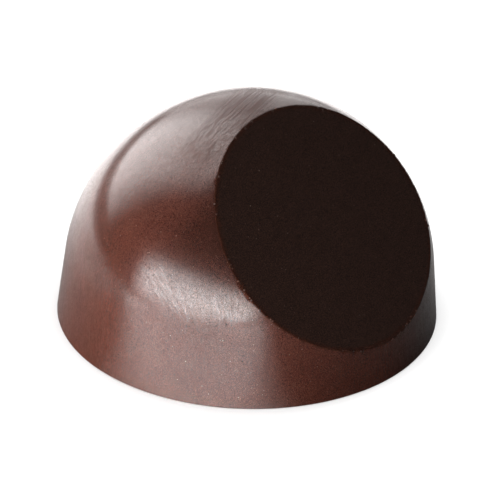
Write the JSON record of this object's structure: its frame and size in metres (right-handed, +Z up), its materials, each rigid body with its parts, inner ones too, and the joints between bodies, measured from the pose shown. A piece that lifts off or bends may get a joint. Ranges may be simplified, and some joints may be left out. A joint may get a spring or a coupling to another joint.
{
  "type": "chocolate praline",
  "caption": "Moulded dark chocolate praline: a low round dome with drafted sides and a broad slanted flat across its front and top, standing on a flat base.",
  "frame": {"origin": "middle of the flat base, on the surface that the praline stands on", "axes": "+Z up, out of the base; the slanted flat faces -Y and up; X runs across the flat, and the praline is the same on both sides of X = 0"},
  "size_m": [0.03, 0.03, 0.0179],
  "materials": {
    "dark_chocolate": "satin, from a polished mould"
  },
  "bodies": {
    "root": {"praline": "dark_chocolate"}
  },
  "joints": []
}
